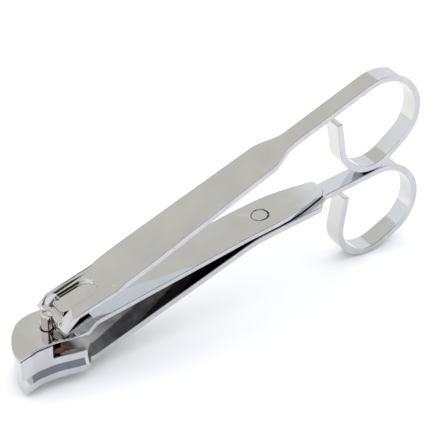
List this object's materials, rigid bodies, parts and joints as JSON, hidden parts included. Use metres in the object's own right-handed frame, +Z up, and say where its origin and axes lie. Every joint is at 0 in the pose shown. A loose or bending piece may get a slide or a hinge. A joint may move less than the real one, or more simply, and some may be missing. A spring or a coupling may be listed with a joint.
{
  "type": "nail clipper",
  "caption": "Long toenail clipper in chromed steel with scissor-style thumb and finger loops, a lever over riveted arms, a hooked post and a rounded cup-shaped jaw.",
  "frame": {"origin": "centre of the bounding box's base, on the surface that the clipper stands on", "axes": "+X from the jaws to the finger loops, +Z up, Y across the width with the middle of the arms at Y = 0"},
  "size_m": [0.1232, 0.0166, 0.0534],
  "materials": {
    "lower_arm_chrome": "mirror-polished chrome plate",
    "upper_arm_chrome": "mirror-polished chrome plate",
    "lever_chrome": "mirror-polished chrome plate",
    "post_chrome": "polished chrome plate",
    "rivet_chrome": "polished chrome plate"
  },
  "bodies": {
    "lower": {"lower_jaw_arm": "lower_arm_chrome", "pivot_post": "post_chrome", "rear_rivet": "rivet_chrome"},
    "upper": {"upper_jaw_arm": "upper_arm_chrome"},
    "lever": {"thumb_lever": "lever_chrome"}
  },
  "joints": [
    {"name": "lever_lift", "type": "hinge", "parent": "lower", "child": "lever", "pos_m": [-0.04847, 0, 0.0164], "axis": [0, -1, 0], "range_deg": [0, 11]},
    {"name": "jaw_open", "type": "hinge", "parent": "lower", "child": "upper", "pos_m": [0.02475, 0, 0.0232], "axis": [0, 1, 0], "range_deg": [0, 0.92]}
  ],
  "couplings": [
    {"joint": "jaw_open", "follows": "lever_lift", "ratio": 0.082}
  ]
}
